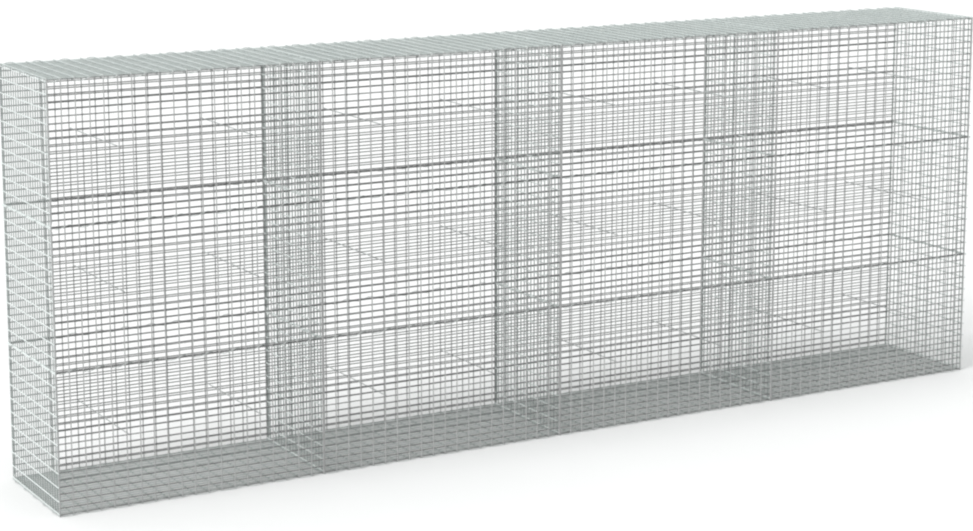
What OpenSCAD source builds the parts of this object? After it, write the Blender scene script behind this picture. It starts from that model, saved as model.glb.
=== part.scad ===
// Wire mesh gabion wall: an empty basket of welded mesh panels, in bays along
// the wall and tiers up it, laced along every joint and tied from front to back.
// The origin is at the middle of the underside. +X runs along the wall, the
// front faces -Y and +Z is up.

/* [Wall] */
// Number of bays along the wall
bays = 4; // [1:1:6]
// Length of one bay
bay_l = 1000; // [400:50:1500]
// Number of tiers up the wall
tiers = 3; // [1:1:4]
// Height of one tier
tier_h = 500; // [300:50:1000]
// Depth from the front mesh to the back mesh
depth = 500; // [300:50:1000]

/* [Mesh] */
// Thickness of the mesh wire
wire = 4; // [3:0.5:6]
// Spacing of the close wires, on the inner side of every panel
close_pitch = 25; // [20:5:50]
// Spacing of the wide wires, on the outer side of every panel
wide_pitch = 50; // [40:5:100]
// One wire in this many is drawn, and the ones between are left to the surface model
drawn_step = 2; // [1:1:4]
// Clearance between panels that are laced together
gap = 0.3; // [0.1:0.1:0.8]
// Length by which the level wires of the ends stand past the front and the back
overhang = 5; // [0:1:20]

/* [Binders and ties] */
// Thickness of the rod that stands for a spiral binder
binder = 3; // [2:0.5:5]
// Distance from the end of a binder to the panel it runs up to
binder_inset = 10; // [6:1:30]
// Thickness of the tie wire
tie = 4; // [3:0.5:6]
// Length of the hook at each end of a tie
hook_l = 25; // [15:1:40]
// Slope of the hooks
hook_angle = 45; // [20:5:70]
// Ties along one bay
ties_per_bay = 2; // [1:1:4]

/* [Hidden] */
length = bays * bay_l;
height = tiers * tier_h + 2 * wire + gap;
// Centre of an edge wire from the edge of its panel
seat = (wire + gap) / 2;
// Level of the lowest tier's edge, on the cross wires of the base
tier_z = wire + gap / 2;
// Height at which the end and partition panels stand, on the long wires of the base
sill = 2 * wire + gap;
// Half of the room between the inner wires of the front and the back
room_y = depth / 2 - wire - gap;
galvanised = [0.74, 0.76, 0.76];

function panel_name(side, b, t) = str(side, "_tier_", t + 1, "_bay_", b + 1);
function upright_name(i) = i == 0 ? "left_end" : i == bays ? "right_end" : str("partition_", i);
function bay_x(i) = i * bay_l - length / 2;
function level(t) = tier_z + t * tier_h;

// Wire centres across a span, evenly spaced, with the outermost held inside low and high
function spots(span, pitch, low, high) =
  let (n = max(1, round(span / pitch / drawn_step)))
  [for (i = [0:n]) min(max(span * i / n, low), high)];

// One box given by two opposite corners
module bar(low, high) {
  translate(low)
    cube(high - low);
}

// Front panel of one bay and tier. The upright wires of the lowest tier stand on
// the ground, and those of the top tier end level with the lid.
module face_panel(b, t) {
  ends = [gap / 2, bay_l - gap / 2];
  foot = t == 0 ? -level(t) : gap / 2;
  head = t == tiers - 1 ? height - level(t) : tier_h - gap / 2;
  color(galvanised)
    translate([bay_x(b), -depth / 2, level(t)])
      union() {
        for (z = spots(tier_h, close_pitch, seat, tier_h - seat))
          bar([ends[0], 0, z - wire / 2], [ends[1], wire, z + wire / 2]);
        for (x = spots(bay_l, wide_pitch, seat, bay_l - seat))
          bar([x - wire / 2, -wire, foot], [x + wire / 2, 0, head]);
      }
}

// Base panel of one bay, with its cross wires underneath and between the upright
// wires of the front and the back
module base_panel(b) {
  reach = depth / 2 - gap;
  color(galvanised)
    translate([bay_x(b), 0, 0])
      union() {
        for (y = spots(depth, close_pitch, depth / 2 - room_y + wire / 2, depth / 2 + room_y - wire / 2))
          bar([gap / 2, y - depth / 2 - wire / 2, wire], [bay_l - gap / 2, y - depth / 2 + wire / 2, 2 * wire]);
        for (x = spots(bay_l, wide_pitch, seat, bay_l - seat))
          bar([x - wire / 2, -reach, 0], [x + wire / 2, reach, wire]);
      }
}

// Lid panel of one bay: the base panel turned over
module lid_panel(b) {
  translate([0, 0, height])
    mirror([0, 0, 1])
      base_panel(b);
}

// One tier of an end or partition: its cross wires are on the -X side and reach past y
module upright_tier(t, reach) {
  low = t == 0 ? sill : level(t) + gap / 2;
  high = t == tiers - 1 ? height - sill : level(t + 1) - gap / 2;
  union() {
    for (y = spots(depth, close_pitch, depth / 2 - room_y + wire / 2, depth / 2 + room_y - wire / 2))
      bar([0, y - depth / 2 - wire / 2, low], [wire, y - depth / 2 + wire / 2, high]);
    for (z = spots(tier_h, wide_pitch, low - level(t) + wire / 2, high - level(t) - wire / 2))
      bar([-wire, -reach, level(t) + z - wire / 2], [0, reach, level(t) + z + wire / 2]);
  }
}

// An end or a partition, all tiers. The right end is turned to face outward.
module upright(i) {
  outer = i == 0 || i == bays;
  color(galvanised)
    translate([bay_x(i), 0, 0])
      mirror([i == bays ? 1 : 0, 0, 0])
        for (t = [0:tiers - 1])
          upright_tier(t, outer ? depth / 2 + overhang : room_y);
}

// Side on which the binders of an end or partition lie
function binder_side(i) = i == bays ? -1 : 1;

// Height of the middle of the binders at one joint level
function binder_z(t) =
  t == 0 ? sill + binder / 2
  : t == tiers ? height - sill - binder / 2
  : level(t);

// Binders along the wall, behind the front mesh and before the back mesh
module long_binders() {
  inset = wire + binder_inset;
  color(galvanised)
    for (b = [0:bays - 1], t = [0:tiers], side = [-1, 1])
      translate([bay_x(b) + bay_l / 2, side * (room_y - binder / 2), binder_z(t)])
        cube([bay_l - 2 * inset, binder, binder], center = true);
}

// Binders from front to back, beside the ends and partitions
module cross_binders() {
  color(galvanised)
    for (i = [0:bays], t = [0:tiers])
      translate([bay_x(i) + binder_side(i) * (wire + gap + binder / 2), 0, binder_z(t)])
        cube([binder, 2 * (room_y - binder_inset), binder], center = true);
}

// Upright binders in the corners of every bay
module upright_binders() {
  inset = wire + binder_inset;
  color(galvanised)
    for (i = [0:bays], t = [0:tiers - 1], side = [-1, 1])
      translate([
        bay_x(i) + binder_side(i) * (wire + gap + binder / 2),
        side * (room_y - binder / 2),
        level(t) + tier_h / 2
      ])
        cube([binder, binder, tier_h - 2 * inset], center = true);
}

// A tie wire from front to back, with a hook over the mesh at each end
module tie_wire() {
  face = depth / 2 + wire + gap;
  union() {
    cube([tie, 2 * (face + tie), tie], center = true);
    for (side = [-1, 1])
      translate([0, side * (face + tie / 2), 0])
        rotate([0, -hook_angle, 0])
          translate([-hook_l / 2, 0, 0])
            cube([hook_l + tie, tie, tie], center = true);
  }
}

// The ties of one tier, each lying on a close wire at half the tier's height
module tier_ties(t) {
  color(galvanised)
    for (b = [0:bays - 1], k = [0:ties_per_bay - 1])
      translate([
        bay_x(b) + bay_l * (k + 0.5) / ties_per_bay + wire / 2 + gap + tie / 2,
        0,
        level(t) + tier_h / 2 + wire / 2 + gap + tie / 2
      ])
        tie_wire();
}

for (t = [0:tiers - 1], b = [0:bays - 1]) {
  face_panel(b, t);
  mirror([0, 1, 0]) face_panel(b, t);
}
for (b = [0:bays - 1]) {
  base_panel(b);
  lid_panel(b);
}
for (i = [0:bays])
  upright(i);
for (t = [0:tiers - 1])
  tier_ties(t);
long_binders();
cross_binders();
upright_binders();
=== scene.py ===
import math

import bmesh
import bpy
from mathutils import Matrix, Vector


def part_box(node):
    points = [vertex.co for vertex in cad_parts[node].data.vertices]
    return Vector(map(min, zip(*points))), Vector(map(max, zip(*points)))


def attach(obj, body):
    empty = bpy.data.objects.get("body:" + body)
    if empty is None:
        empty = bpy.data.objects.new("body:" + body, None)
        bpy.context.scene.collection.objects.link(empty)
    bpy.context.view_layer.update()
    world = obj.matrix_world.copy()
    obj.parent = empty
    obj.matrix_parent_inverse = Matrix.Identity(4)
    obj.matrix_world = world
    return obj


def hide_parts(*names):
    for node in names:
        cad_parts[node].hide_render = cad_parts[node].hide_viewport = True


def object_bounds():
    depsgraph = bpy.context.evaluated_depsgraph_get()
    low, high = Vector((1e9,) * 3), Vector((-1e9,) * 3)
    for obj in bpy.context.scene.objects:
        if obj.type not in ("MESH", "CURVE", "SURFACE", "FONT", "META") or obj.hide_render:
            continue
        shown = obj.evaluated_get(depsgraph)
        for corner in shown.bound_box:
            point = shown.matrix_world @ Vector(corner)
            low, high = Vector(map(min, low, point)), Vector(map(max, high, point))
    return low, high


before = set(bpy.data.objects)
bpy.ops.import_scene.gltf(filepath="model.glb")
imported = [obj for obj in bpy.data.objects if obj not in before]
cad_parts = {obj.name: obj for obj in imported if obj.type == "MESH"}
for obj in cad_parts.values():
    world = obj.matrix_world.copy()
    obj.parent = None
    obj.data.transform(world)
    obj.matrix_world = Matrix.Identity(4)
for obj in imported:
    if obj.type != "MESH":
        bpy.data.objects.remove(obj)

cad_low, cad_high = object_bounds()

# Mesh, in metres. Crossing wires are pressed into each other where they are welded.
WIRE = 0.004
CLOSE = 0.025
WIDE = 0.05
GAP = 0.0003
PRESS = 0.0002
STUB = 0.005
WIRE_SIDES = 12
WIRE_RIM = 0.0005
BEAD_RADIUS = 0.0034
BEAD_FLATNESS = 0.45
SEAT = (WIRE + GAP) / 2

# Spirals. A lead is where a spiral first stands outermost: from the joint line for the long
# ones, and from its own start for the cross ones.
SPIRAL_ROD = 0.0026
SPIRAL_SIDES = 8
SPIRAL_STEPS = 16
SPIRAL_REACH = 0.006
SPIRAL_PITCH = 0.1
SPIRAL_INSET = 0.014
LONG_LEAD = 0.038
CROSS_LEAD = 0.036
LID_DROP = 0.0035
GROUND_FLATNESS = 0.5

# Corner pins and ties
PIN_RADIUS = 0.0015
PIN_INSET = WIRE + GAP + PIN_RADIUS
TIES_PER_BAY = 2
HOOK = 0.025
HOOK_BEND = 0.0045
HOOK_BEND_STEPS = 5
HOOK_SLOPE = math.radians(45)

# Joint lines of the bays and tiers, read from the frame
names = list(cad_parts)
bays = sum(name.startswith("base_bay_") for name in names)
tiers = sum(name.startswith("ties_tier_") for name in names)
panel_low, panel_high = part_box("front_tier_2_bay_1")
bay_long = panel_high.x - panel_low.x + GAP
tier_tall = panel_high.z - panel_low.z + GAP
wall_left = panel_low.x - GAP / 2
lowest_joint = panel_low.z - GAP / 2 - tier_tall
face = -panel_high.y + WIRE
edge_row = face - WIRE - WIRE / 2 - GAP
top = cad_high.z

# Wires in a bay, across the depth, and up a tier
bay_wires = round(bay_long / WIDE) + 1
depth_wires = round(2 * face / CLOSE) + 1
close_levels = round(tier_tall / CLOSE) + 1
wide_levels = round(tier_tall / WIDE) + 1


def joint_x(number):
    return wall_left + number * bay_long


def joint_z(number):
    return lowest_joint + number * tier_tall


# ---------------------------------------------------------------- finishes

def new_group(name, inputs, outputs):
    """An empty shader group with named sockets; the inputs are (name, kind, value)"""
    group = bpy.data.node_groups.new(name, "ShaderNodeTree")
    for label, kind, value in inputs:
        socket = group.interface.new_socket(label, in_out="INPUT", socket_type=kind)
        if value is not None:
            socket.default_value = value
    for label, kind in outputs:
        group.interface.new_socket(label, in_out="OUTPUT", socket_type=kind)
    return group, group.nodes.new("NodeGroupInput"), group.nodes.new("NodeGroupOutput")


def noise(group, place, scale, detail, roughness=0.5):
    """A noise of a fixed size, read at a place"""
    node = group.nodes.new("ShaderNodeTexNoise")
    node.inputs["Scale"].default_value = scale
    node.inputs["Detail"].default_value = detail
    node.inputs["Roughness"].default_value = roughness
    group.links.new(place, node.inputs["Vector"])
    return node


def ramp(group, value, low, high):
    """Stretches a value so that low becomes 0 and high becomes 1"""
    node = group.nodes.new("ShaderNodeMapRange")
    node.inputs["From Min"].default_value = low
    node.inputs["From Max"].default_value = high
    group.links.new(value, node.inputs["Value"])
    return node.outputs["Result"]


def mix_colour(group, amount, first, second):
    """Mixes two colours, each a socket or a fixed colour"""
    node = group.nodes.new("ShaderNodeMix")
    node.data_type = "RGBA"
    group.links.new(amount, node.inputs["Factor"])
    for socket, colour in ((node.inputs["A"], first), (node.inputs["B"], second)):
        if isinstance(colour, tuple):
            socket.default_value = colour
        else:
            group.links.new(colour, socket)
    return node.outputs["Result"]


def maths(group, kind, first, second):
    """One sum on two values, each a socket or a number"""
    node = group.nodes.new("ShaderNodeMath")
    node.operation = kind
    for socket, value in ((node.inputs[0], first), (node.inputs[1], second)):
        if isinstance(value, float):
            socket.default_value = value
        else:
            group.links.new(value, socket)
    return node.outputs["Value"]


def make_zinc_coat():
    """The hot-dip coat: soft crystal patches, dull bloom and fine runs along the wire"""
    group, given, made = new_group(
        "zinc_coat",
        [
            ("Place", "NodeSocketVector", None),
            ("Bright", "NodeSocketColor", (0.6, 0.62, 0.62, 1)),
            ("Dull", "NodeSocketColor", (0.45, 0.47, 0.47, 1)),
            ("Patch Size", "NodeSocketFloat", 60.0),
        ],
        [
            ("Colour", "NodeSocketColor"),
            ("Roughness", "NodeSocketFloat"),
            ("Height", "NodeSocketFloat"),
        ],
    )
    crystals = group.nodes.new("ShaderNodeTexVoronoi")
    crystals.feature = "F1"
    group.links.new(given.outputs["Place"], crystals.inputs["Vector"])
    group.links.new(given.outputs["Patch Size"], crystals.inputs["Scale"])
    facet = group.nodes.new("ShaderNodeSeparateColor")
    group.links.new(crystals.outputs["Color"], facet.inputs["Color"])
    bloom = noise(group, given.outputs["Place"], 9.0, 4.0)
    grain = noise(group, given.outputs["Place"], 900.0, 3.0, 0.6)
    runs = noise(group, given.outputs["Place"], 140.0, 2.0)
    bloom_mask = ramp(group, bloom.outputs["Fac"], 0.35, 0.68)
    crystal_mask = ramp(group, facet.outputs["Red"], 0.1, 0.9)
    tone = maths(group, "MULTIPLY", crystal_mask, 0.55)
    tone = maths(group, "ADD", tone, maths(group, "MULTIPLY", bloom_mask, 0.45))
    colour = mix_colour(group, tone, given.outputs["Dull"], given.outputs["Bright"])
    group.links.new(colour, made.inputs["Colour"])
    rough = maths(group, "MULTIPLY", maths(group, "SUBTRACT", 1.0, tone), 0.22)
    rough = maths(group, "ADD", rough, maths(group, "MULTIPLY", grain.outputs["Fac"], 0.12))
    rough = maths(group, "ADD", rough, 0.34)
    group.links.new(rough, made.inputs["Roughness"])
    height = maths(group, "MULTIPLY", runs.outputs["Fac"], 0.7)
    height = maths(group, "ADD", height, maths(group, "MULTIPLY", grain.outputs["Fac"], 0.3))
    group.links.new(height, made.inputs["Height"])
    return group


def make_dust():
    """Pale weathering that gathers in soft patches"""
    group, given, made = new_group(
        "yard_dust",
        [
            ("Place", "NodeSocketVector", None),
            ("Colour", "NodeSocketColor", (0.6, 0.62, 0.62, 1)),
            ("Dust", "NodeSocketColor", (0.7, 0.71, 0.69, 1)),
            ("Amount", "NodeSocketFloat", 0.3),
        ],
        [("Colour", "NodeSocketColor"), ("Mask", "NodeSocketFloat")],
    )
    cloud = noise(group, given.outputs["Place"], 22.0, 5.0, 0.6)
    mask = ramp(group, cloud.outputs["Fac"], 0.48, 0.72)
    mask = maths(group, "MULTIPLY", mask, given.outputs["Amount"])
    colour = mix_colour(group, mask, given.outputs["Colour"], given.outputs["Dust"])
    group.links.new(colour, made.inputs["Colour"])
    group.links.new(mask, made.inputs["Mask"])
    return group


def make_galvanised(name, bright, dull, patch, dust, metallic):
    """A galvanised finish read from the object's own coordinates, between two tones of zinc"""
    finish = bpy.data.materials.new(name)
    finish.use_nodes = True
    tree = finish.node_tree
    shader = tree.nodes["Principled BSDF"]
    shader.inputs["Metallic"].default_value = metallic
    place = tree.nodes.new("ShaderNodeTexCoord").outputs["Object"]
    zinc = tree.nodes.new("ShaderNodeGroup")
    zinc.node_tree = zinc_coat
    zinc.inputs["Bright"].default_value = (*bright, 1)
    zinc.inputs["Dull"].default_value = (*dull, 1)
    zinc.inputs["Patch Size"].default_value = patch
    film = tree.nodes.new("ShaderNodeGroup")
    film.node_tree = yard_dust
    film.inputs["Amount"].default_value = dust
    bump = tree.nodes.new("ShaderNodeBump")
    bump.inputs["Strength"].default_value = 0.35
    bump.inputs["Distance"].default_value = 0.0004
    tree.links.new(place, zinc.inputs["Place"])
    tree.links.new(place, film.inputs["Place"])
    tree.links.new(zinc.outputs["Colour"], film.inputs["Colour"])
    tree.links.new(film.outputs["Colour"], shader.inputs["Base Color"])
    tree.links.new(zinc.outputs["Roughness"], shader.inputs["Roughness"])
    tree.links.new(zinc.outputs["Height"], bump.inputs["Height"])
    tree.links.new(bump.outputs["Normal"], shader.inputs["Normal"])
    return finish


zinc_coat = make_zinc_coat()
yard_dust = make_dust()

# One galvanised zinc, given a different tone for each wire direction and panel: painted light and shade for
# how the lamps fall on each set of wires. The face level wires are darkened as painted shade, the end level
# wires and the corner pins are lightened as painted light, and the base and lid wires are lighter than face
# wires that lie the same way. Wires that lie the same way in the same panels share a finish.
# Painted shade: face level wires and their weld beads are made dark, because the left light runs along them
# and leaves them unlit
shaded_level_finish = make_galvanised(
    "galvanised_level_wire_painted_shade", (0.25, 0.25, 0.25), (0.19, 0.19, 0.19), patch=55.0, dust=0.12, metallic=0.35
)
upright_finish = make_galvanised(
    "galvanised_upright_wire", (0.58, 0.58, 0.58), (0.46, 0.46, 0.46), patch=55.0, dust=0.2, metallic=0.35
)
end_finish = make_galvanised(
    "galvanised_end_upright", (0.47, 0.51, 0.50), (0.385, 0.425, 0.415), patch=55.0, dust=0.2, metallic=0.35
)
# Painted light: the level wires of the ends and partitions are made near white, as though lit full on by
# the left light
lit_rung_finish = make_galvanised(
    "galvanised_end_level_painted_light", (0.82, 0.86, 0.85), (0.70, 0.74, 0.73), patch=55.0, dust=0.2, metallic=0.3
)
cross_finish = make_galvanised(
    "galvanised_cross_wire", (0.56, 0.60, 0.59), (0.47, 0.51, 0.50), patch=55.0, dust=0.25, metallic=0.35
)
long_finish = make_galvanised(
    "galvanised_long_wire", (0.60, 0.645, 0.63), (0.50, 0.54, 0.53), patch=55.0, dust=0.3, metallic=0.35
)
spiral_finish = make_galvanised(
    "galvanised_spiral", (0.66, 0.70, 0.69), (0.54, 0.575, 0.565), patch=90.0, dust=0.2, metallic=0.4
)
# Painted light: the corner pins are made lighter than the zinc, to cancel the shadow that the partitions
# cast on them
lit_pin_finish = make_galvanised(
    "galvanised_pin_painted_light", (0.80, 0.83, 0.82), (0.70, 0.73, 0.72), patch=90.0, dust=0.2, metallic=0.3
)
tie_finish = make_galvanised(
    "galvanised_tie", (0.62, 0.64, 0.64), (0.48, 0.50, 0.50), patch=80.0, dust=0.25, metallic=0.4
)


# ---------------------------------------------------------------- hand tools

def select_only(*pieces):
    """Selects these pieces and nothing else, and makes the first of them active"""
    bpy.ops.object.select_all(action="DESELECT")
    for piece in pieces:
        piece.select_set(True)
    bpy.context.view_layer.objects.active = pieces[0]


def settle(piece):
    """Puts the object's place, turn and size into its mesh"""
    select_only(piece)
    bpy.ops.object.transform_apply(location=True, rotation=True, scale=True)


def open_mesh(piece):
    """Starts edit mode on a piece"""
    select_only(piece)
    bpy.ops.object.mode_set(mode="EDIT")
    return bmesh.from_edit_mesh(piece.data)


def close_mesh():
    bpy.ops.object.mode_set(mode="OBJECT")


def pick_corners(piece, shape, wanted):
    """In edit mode, selects the corners whose place is wanted, and what lies between them"""
    for corner in shape.verts:
        corner.select = wanted(corner.co)
    for edge in shape.edges:
        edge.select = all(corner.select for corner in edge.verts)
    for side in shape.faces:
        side.select = all(corner.select for corner in side.verts)
    bmesh.update_edit_mesh(piece.data)


def shift_corners(piece, wanted, move):
    """Moves the corners whose place is wanted"""
    shape = open_mesh(piece)
    pick_corners(piece, shape, wanted)
    bpy.ops.transform.translate(value=move)
    close_mesh()


def repeat(piece, count, step):
    """A row of copies, one step apart"""
    select_only(piece)
    row = piece.modifiers.new("row", "ARRAY")
    row.use_relative_offset = False
    row.use_constant_offset = True
    row.constant_offset_displace = step
    row.count = count
    bpy.ops.object.modifier_apply(modifier=row.name)


def join(pieces, name):
    """One piece of several, which keeps the place and finishes of each"""
    select_only(*pieces)
    bpy.ops.object.join()
    joined = bpy.context.object
    joined.name = name
    joined.data.name = name
    return joined


def copy_piece(piece, name):
    """A copy with a mesh of its own"""
    twin = piece.copy()
    twin.data = piece.data.copy()
    twin.name = name
    twin.data.name = name
    bpy.context.scene.collection.objects.link(twin)
    return twin


def straight_wire(start, end, finish, radius=WIRE / 2):
    """A round wire between two points, with the rims of its cut ends dulled"""
    start, end = Vector(start), Vector(end)
    run = end - start
    bpy.ops.object.select_all(action="DESELECT")
    bpy.ops.mesh.primitive_cylinder_add(
        vertices=WIRE_SIDES,
        radius=radius,
        depth=run.length,
        end_fill_type="NGON",
        location=(start + end) / 2,
        rotation=run.to_track_quat("Z", "Y").to_euler(),
    )
    wire = bpy.context.object
    settle(wire)
    shape = open_mesh(wire)
    for edge in shape.edges:
        edge.select = (edge.verts[0].co - edge.verts[1].co).length < radius
    for side in shape.faces:
        side.select = False
    bmesh.update_edit_mesh(wire.data)
    bpy.ops.mesh.bevel(offset=WIRE_RIM, offset_type="OFFSET", segments=1, affect="EDGES")
    close_mesh()
    select_only(wire)
    bpy.ops.object.shade_smooth_by_angle(angle=math.radians(50))
    wire.data.materials.append(finish)
    return wire


def weld_bead(place, across, finish):
    """The flat bead where two wires are fused, thin along the axis across"""
    bpy.ops.object.select_all(action="DESELECT")
    bpy.ops.mesh.primitive_ico_sphere_add(subdivisions=1, radius=BEAD_RADIUS, location=place)
    bead = bpy.context.object
    open_mesh(bead)
    bpy.ops.mesh.select_all(action="SELECT")
    flat = [1.0, 1.0, 1.0]
    flat["xyz".index(across)] = BEAD_FLATNESS
    bpy.ops.transform.resize(value=flat)
    close_mesh()
    settle(bead)
    select_only(bead)
    bpy.ops.object.shade_smooth()
    bead.data.materials.append(finish)
    return bead


def draw_in(piece, axis, pitch, low, high, low_seat, high_seat):
    """Moves the first and last rows of a set of wires or beads to their seats"""
    index = "xyz".index(axis)
    move = [0.0, 0.0, 0.0]
    move[index] = low_seat - low
    shift_corners(piece, lambda co: co[index] < low + pitch * 0.4, move)
    move[index] = high_seat - high
    shift_corners(piece, lambda co: co[index] > high - pitch * 0.4, move)


# ---------------------------------------------------------------- mesh panels

def make_face_panel(tier):
    """The front panel of the first bay on one tier"""
    low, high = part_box(f"front_tier_{tier + 1}_bay_1")
    left, right = joint_x(0), joint_x(1)
    under, over = joint_z(tier), joint_z(tier + 1)
    outer, inner = -face + WIRE / 2, -face + WIRE * 1.5 - PRESS
    uprights = straight_wire((left, outer, low.z), (left, outer, high.z), upright_finish)
    repeat(uprights, bay_wires, (WIDE, 0, 0))
    draw_in(uprights, "x", WIDE, left, right, left + SEAT, right - SEAT)
    levels = straight_wire((low.x, inner, under), (high.x, inner, under), shaded_level_finish)
    repeat(levels, close_levels, (0, 0, CLOSE))
    draw_in(levels, "z", CLOSE, under, over, under + SEAT, over - SEAT)
    beads = weld_bead((left, -face + WIRE, under), "y", shaded_level_finish)
    repeat(beads, bay_wires, (WIDE, 0, 0))
    repeat(beads, close_levels, (0, 0, CLOSE))
    draw_in(beads, "x", WIDE, left, right, left + SEAT, right - SEAT)
    draw_in(beads, "z", CLOSE, under, over, under + SEAT, over - SEAT)
    return join([levels, uprights, beads], f"mesh_front_{tier + 1}_1")


def make_base_panel():
    """The base panel of the first bay, with its cross wires on the ground"""
    low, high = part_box("base_bay_1")
    left, right = joint_x(0), joint_x(1)
    crosses = straight_wire((left, low.y, WIRE / 2), (left, high.y, WIRE / 2), cross_finish)
    repeat(crosses, bay_wires, (WIDE, 0, 0))
    draw_in(crosses, "x", WIDE, left, right, left + SEAT, right - SEAT)
    height = WIRE * 1.5 - PRESS
    longs = straight_wire((low.x, -face, height), (high.x, -face, height), long_finish)
    repeat(longs, depth_wires, (0, CLOSE, 0))
    draw_in(longs, "y", CLOSE, -face, face, -edge_row, edge_row)
    beads = weld_bead((left, -face, WIRE), "z", cross_finish)
    repeat(beads, bay_wires, (WIDE, 0, 0))
    repeat(beads, depth_wires, (0, CLOSE, 0))
    draw_in(beads, "x", WIDE, left, right, left + SEAT, right - SEAT)
    draw_in(beads, "y", CLOSE, -face, face, -edge_row, edge_row)
    return join([longs, crosses, beads], "mesh_base_1")


def make_cross_panel(node, line, name):
    """An end or a partition, with its level wires on the left and its uprights on the right"""
    low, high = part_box(node)
    inside, outside = line + WIRE / 2 - PRESS, line - WIRE / 2
    parts = []
    for tier in range(tiers):
        under, over = joint_z(tier), joint_z(tier + 1)
        foot = low.z if tier == 0 else under + GAP / 2
        head = high.z if tier == tiers - 1 else over - GAP / 2
        first, last = foot + WIRE / 2, head - WIRE / 2
        uprights = straight_wire((inside, -face, foot), (inside, -face, head), end_finish)
        repeat(uprights, depth_wires, (0, CLOSE, 0))
        draw_in(uprights, "y", CLOSE, -face, face, -edge_row, edge_row)
        levels = straight_wire((outside, low.y, under), (outside, high.y, under), lit_rung_finish)
        repeat(levels, wide_levels, (0, 0, WIDE))
        draw_in(levels, "z", WIDE, under, over, first, last)
        beads = weld_bead((line, -face, under), "x", end_finish)
        repeat(beads, depth_wires, (0, CLOSE, 0))
        repeat(beads, wide_levels, (0, 0, WIDE))
        draw_in(beads, "y", CLOSE, -face, face, -edge_row, edge_row)
        draw_in(beads, "z", WIDE, under, over, first, last)
        parts += [levels, uprights, beads]
    return join(parts, name)


def move_copy(piece, name, shift):
    """A copy moved along"""
    twin = copy_piece(piece, name)
    twin.location = shift
    settle(twin)
    return twin


def turn_copy(piece, name, turn):
    """A copy turned about the origin"""
    twin = copy_piece(piece, name)
    twin.matrix_world = turn
    settle(twin)
    return twin


def draw_out_stubs(piece, tier, end, side):
    """Lets every second level wire stand out past one end of the wall; side is -1 or 1"""
    def level_tip(co):
        row = round((co.z - joint_z(tier)) / CLOSE)
        tip = (co.x - end) * side > -GAP * 3 and abs(co.x - end) < CLOSE / 8
        return tip and row % 2 == 1 and co.y > -face + WIRE - 2 * PRESS

    shift_corners(piece, level_tip, (side * (GAP / 2 + STUB), 0, 0))


def finish_piece(piece, name, node):
    """Names a finished piece, hangs it from the root body and hides the CAD node that it stands for"""
    piece.name = name
    piece.data.name = name
    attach(piece, "root")
    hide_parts(node)


# The back is the front turned round, and the lid is the base turned over
about_z = Matrix.Rotation(math.pi, 4, "Z")
over_lid = Matrix.Translation((0, 0, top)) @ Matrix.Rotation(math.pi, 4, "X")

for tier in range(tiers):
    first = make_face_panel(tier)
    for bay in range(bays):
        front = move_copy(first, f"front_{tier}_{bay}", (bay * bay_long, 0, 0))
        if bay == 0:
            draw_out_stubs(front, tier, joint_x(0), -1)
        if bay == bays - 1:
            draw_out_stubs(front, tier, joint_x(bays), 1)
        back = turn_copy(front, f"back_{tier}_{bay}", about_z)
        place = (tier + 1, bay + 1)
        finish_piece(front, "front_mesh_%d_%d" % place, "front_tier_%d_bay_%d" % place)
        place = (tier + 1, bays - bay)
        finish_piece(back, "back_mesh_%d_%d" % place, "back_tier_%d_bay_%d" % place)
    bpy.data.objects.remove(first)

first = make_base_panel()
for bay in range(bays):
    base = move_copy(first, f"base_{bay}", (bay * bay_long, 0, 0))
    lid = turn_copy(base, f"lid_{bay}", over_lid)
    finish_piece(base, f"base_mesh_{bay + 1}", f"base_bay_{bay + 1}")
    finish_piece(lid, f"lid_mesh_{bay + 1}", f"lid_bay_{bay + 1}")
bpy.data.objects.remove(first)

left_end = make_cross_panel("left_end", joint_x(0), "left_end_mesh")
right_end = turn_copy(left_end, "right_end_mesh", about_z)
finish_piece(left_end, "left_end_mesh", "left_end")
finish_piece(right_end, "right_end_mesh", "right_end")
partition = make_cross_panel("partition_1", joint_x(1), "partition_mesh_1")
for number in range(2, bays):
    twin = move_copy(partition, f"partition_mesh_{number}", ((number - 1) * bay_long, 0, 0))
    finish_piece(twin, f"partition_mesh_{number}", f"partition_{number}")
finish_piece(partition, "partition_mesh_1", "partition_1")


# ---------------------------------------------------------------- spirals

def make_spiral(start, axis, outward, long, lead, level):
    """A round wire wound along X or Y from start, flattened where it lies on the ground"""
    bpy.ops.object.select_all(action="DESELECT")
    turn = {"X": (0, math.pi / 2, 0), "Y": (math.pi / 2, 0, 0)}[axis]
    bpy.ops.mesh.primitive_circle_add(
        vertices=SPIRAL_SIDES,
        radius=SPIRAL_ROD / 2,
        fill_type="NOTHING",
        location=start,
        rotation=turn,
    )
    coil = bpy.context.object
    bpy.ops.object.transform_apply(location=False, rotation=True, scale=True)
    angle = 2 * math.pi * lead / SPIRAL_PITCH
    radial = Matrix.Rotation(angle, 3, axis) @ Vector(outward)
    open_mesh(coil)
    bpy.ops.mesh.select_all(action="SELECT")
    bpy.ops.transform.translate(value=radial * SPIRAL_REACH)
    close_mesh()
    turns = long / SPIRAL_PITCH
    wind = coil.modifiers.new("wind", "SCREW")
    wind.axis = axis
    wind.angle = -2 * math.pi * turns
    wind.screw_offset = long
    wind.steps = round(SPIRAL_STEPS * turns)
    wind.render_steps = wind.steps
    select_only(coil)
    bpy.ops.object.modifier_apply(modifier="wind")
    open_mesh(coil)
    bpy.ops.mesh.select_all(action="SELECT")
    bpy.ops.mesh.fill_holes(sides=0)
    bpy.ops.mesh.select_all(action="SELECT")
    bpy.ops.mesh.normals_make_consistent(inside=False)
    if level == 0:
        bpy.ops.transform.resize(value=(1, 1, GROUND_FLATNESS), center_override=start)
    close_mesh()
    settle(coil)
    select_only(coil)
    bpy.ops.object.shade_smooth_by_angle(angle=math.radians(60))
    coil.data.materials.append(spiral_finish)
    return coil


def spiral_z(level):
    """The height of a spiral's axis; those of the lid lie a little lower than the joint"""
    return joint_z(level) - (LID_DROP if level == tiers else 0.0)


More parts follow.
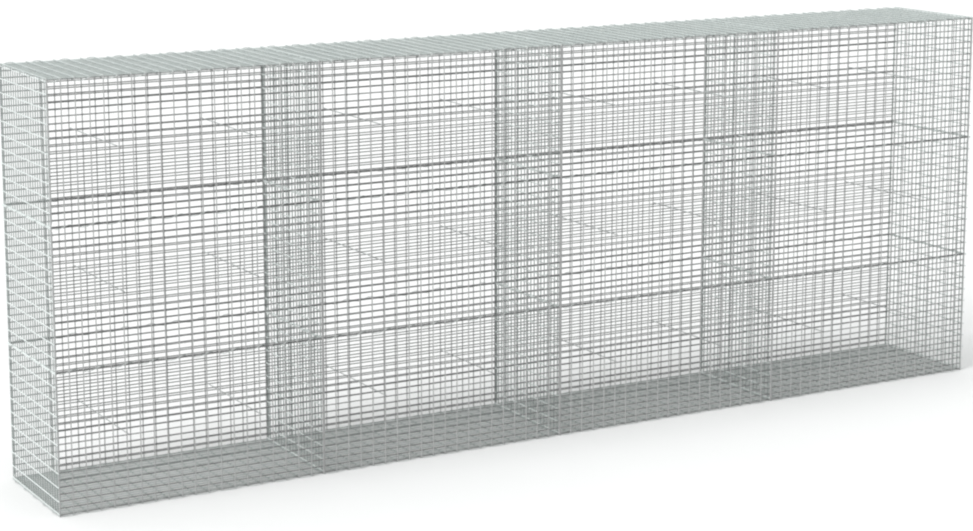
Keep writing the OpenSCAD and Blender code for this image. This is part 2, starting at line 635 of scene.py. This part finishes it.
long_run = bay_long - 2 * SPIRAL_INSET
cross_run = 2 * (face - SPIRAL_INSET)
coils = []
for level in range(tiers + 1):
    start = (joint_x(0) + SPIRAL_INSET, -face, spiral_z(level))
    first = make_spiral(start, "X", (0, -1, 0), long_run, LONG_LEAD - SPIRAL_INSET, level)
    coils.append(first)
    for bay in range(1, bays):
        coils.append(move_copy(first, f"coil_{level}_{bay}", (bay * bay_long, 0, 0)))
coils += [turn_copy(coil, "back_coil", about_z) for coil in coils]
long_spirals = join(coils, "long_spirals")
finish_piece(long_spirals, "long_spirals", "long_binders")

coils = []
for level in range(tiers + 1):
    start = (joint_x(0), -cross_run / 2, spiral_z(level))
    first = make_spiral(start, "Y", (-1, 0, 0), cross_run, CROSS_LEAD, level)
    coils.append(first)
    for line in range(1, bays):
        coils.append(move_copy(first, f"coil_{level}_{line}", (line * bay_long, 0, 0)))
    coils.append(turn_copy(first, "right_coil", about_z))
cross_spirals = join(coils, "cross_spirals")
finish_piece(cross_spirals, "cross_spirals", "cross_binders")

# Pins stand in the inner corners, to the right of each joint but the last
pins = []
pin_y = face - PIN_INSET
for tier in range(tiers):
    low_z, high_z = joint_z(tier) + SPIRAL_INSET, joint_z(tier + 1) - SPIRAL_INSET
    x = joint_x(0) + PIN_INSET
    pin = straight_wire((x, -pin_y, low_z), (x, -pin_y, high_z), lit_pin_finish, PIN_RADIUS)
    pins.append(pin)
    for line in range(1, bays):
        pins.append(move_copy(pin, f"pin_{tier}_{line}", (line * bay_long, 0, 0)))
    pins.append(move_copy(pin, f"pin_{tier}_{bays}", (bays * bay_long - 2 * PIN_INSET, 0, 0)))
pins += [move_copy(pin, "back_pin", (0, 2 * pin_y, 0)) for pin in pins]
corner_pins = join(pins, "corner_pins")
finish_piece(corner_pins, "corner_pins", "upright_binders")


# ---------------------------------------------------------------- ties

def make_tie(place):
    """A tie wire from front to back, with a hook bent over the mesh at each end"""
    x, z = place
    reach = face + GAP + WIRE / 2
    tie = straight_wire((x, -reach + HOOK_BEND, z), (x, reach - HOOK_BEND, z), tie_finish)
    down = Vector((-math.cos(HOOK_SLOPE), 0, -math.sin(HOOK_SLOPE)))
    for side in (-1, 1):
        end = side * (reach - HOOK_BEND)
        shape = open_mesh(tie)
        pick_corners(tie, shape, lambda co: abs(co.y - end) < 1e-5)
        centre = Vector((x, end, z)) + down * HOOK_BEND
        axis = down.cross(Vector((0, side, 0)))
        bpy.ops.mesh.spin(steps=HOOK_BEND_STEPS, angle=-math.pi / 2, center=centre, axis=axis)
        straight = down * (HOOK - HOOK_BEND)
        bpy.ops.mesh.extrude_region_move(TRANSFORM_OT_translate={"value": straight})
        close_mesh()
    open_mesh(tie)
    bpy.ops.mesh.select_all(action="SELECT")
    bpy.ops.mesh.remove_doubles(threshold=0.00001)
    bpy.ops.mesh.normals_make_consistent(inside=False)
    close_mesh()
    select_only(tie)
    bpy.ops.object.shade_smooth_by_angle(angle=math.radians(50))
    return tie


for tier in range(tiers):
    spacing = bay_long / TIES_PER_BAY
    rise = joint_z(tier) + tier_tall / 2 + WIRE + 2 * GAP
    first = make_tie((joint_x(0) + spacing / 2 + WIRE + GAP, rise))
    repeat(first, bays * TIES_PER_BAY, (spacing, 0, 0))
    finish_piece(first, f"tie_wires_{tier + 1}", f"ties_tier_{tier + 1}")


# ---------------------------------------------------------------- studio

def split_by_camera(tree, seen, unseen):
    """Shows one shader to the camera and another to the light that bounces about"""
    path = tree.nodes.new("ShaderNodeLightPath")
    mix = tree.nodes.new("ShaderNodeMixShader")
    tree.links.new(path.outputs["Is Camera Ray"], mix.inputs["Fac"])
    tree.links.new(unseen.outputs[0], mix.inputs[1])
    tree.links.new(seen.outputs[0], mix.inputs[2])
    return mix


bpy.ops.object.select_all(action="DESELECT")
bpy.ops.mesh.primitive_plane_add(size=160, location=(0, 0, 0))
floor = bpy.context.object
floor.name = "floor"
floor_finish = bpy.data.materials.new("pale_floor")
floor_finish.use_nodes = True
floor_tree = floor_finish.node_tree
paper = floor_tree.nodes["Principled BSDF"]
paper.inputs["Base Color"].default_value = (0.74, 0.74, 0.74, 1)
paper.inputs["Roughness"].default_value = 1.0
paper.inputs["Specular IOR Level"].default_value = 0.0
dim = floor_tree.nodes.new("ShaderNodeBsdfDiffuse")
dim.inputs["Color"].default_value = (0.25, 0.25, 0.25, 1)
sheet = split_by_camera(floor_tree, paper, dim)
floor_tree.links.new(sheet.outputs[0], floor_tree.nodes["Material Output"].inputs["Surface"])
floor.data.materials.append(floor_finish)

world = bpy.data.worlds.new("studio")
bpy.context.scene.world = world
world.use_nodes = True
world_tree = world.node_tree
backdrop = world_tree.nodes["Background"]
backdrop.inputs["Color"].default_value = (1, 1, 1, 1)
backdrop.inputs["Strength"].default_value = 1.0
fill = world_tree.nodes.new("ShaderNodeBackground")
fill.inputs["Color"].default_value = (0.975, 1.0, 0.99, 1)
fill.inputs["Strength"].default_value = 0.8
room = split_by_camera(world_tree, backdrop, fill)
world_tree.links.new(room.outputs[0], world_tree.nodes["World Output"].inputs["Surface"])


def soft_sun(name, energy, spread, tilt, turn):
    """A wide soft light from far off: tilt is its angle from straight overhead and turn the
    direction that it comes from, counted from +X towards +Y"""
    bpy.ops.object.light_add(type="SUN")
    lamp = bpy.context.object
    lamp.name = name
    lamp.data.energy = energy
    lamp.data.angle = math.radians(spread)
    lamp.rotation_euler = (0, math.radians(tilt), math.radians(turn))
    return lamp


soft_sun("overhead_light", energy=0.8, spread=60, tilt=8, turn=180)
soft_sun("left_light", energy=2.9, spread=35, tilt=62, turn=190)

# Degrees below level, and from facing the wall squarely
CAMERA_DIP = 9.637
CAMERA_TURN = -29.725
bpy.ops.object.camera_add(
    location=(-4.4861, -7.5381, 2.4922),
    rotation=(math.radians(90 - CAMERA_DIP), 0, math.radians(CAMERA_TURN)),
)
camera = bpy.context.object
camera.data.lens = 85.4
camera.data.sensor_width = 36
camera.data.shift_y = -0.10
camera.data.clip_end = 300
bpy.context.scene.camera = camera
bpy.context.scene.view_settings.view_transform = "Standard"
bpy.context.scene.cycles.filter_width = 2.3
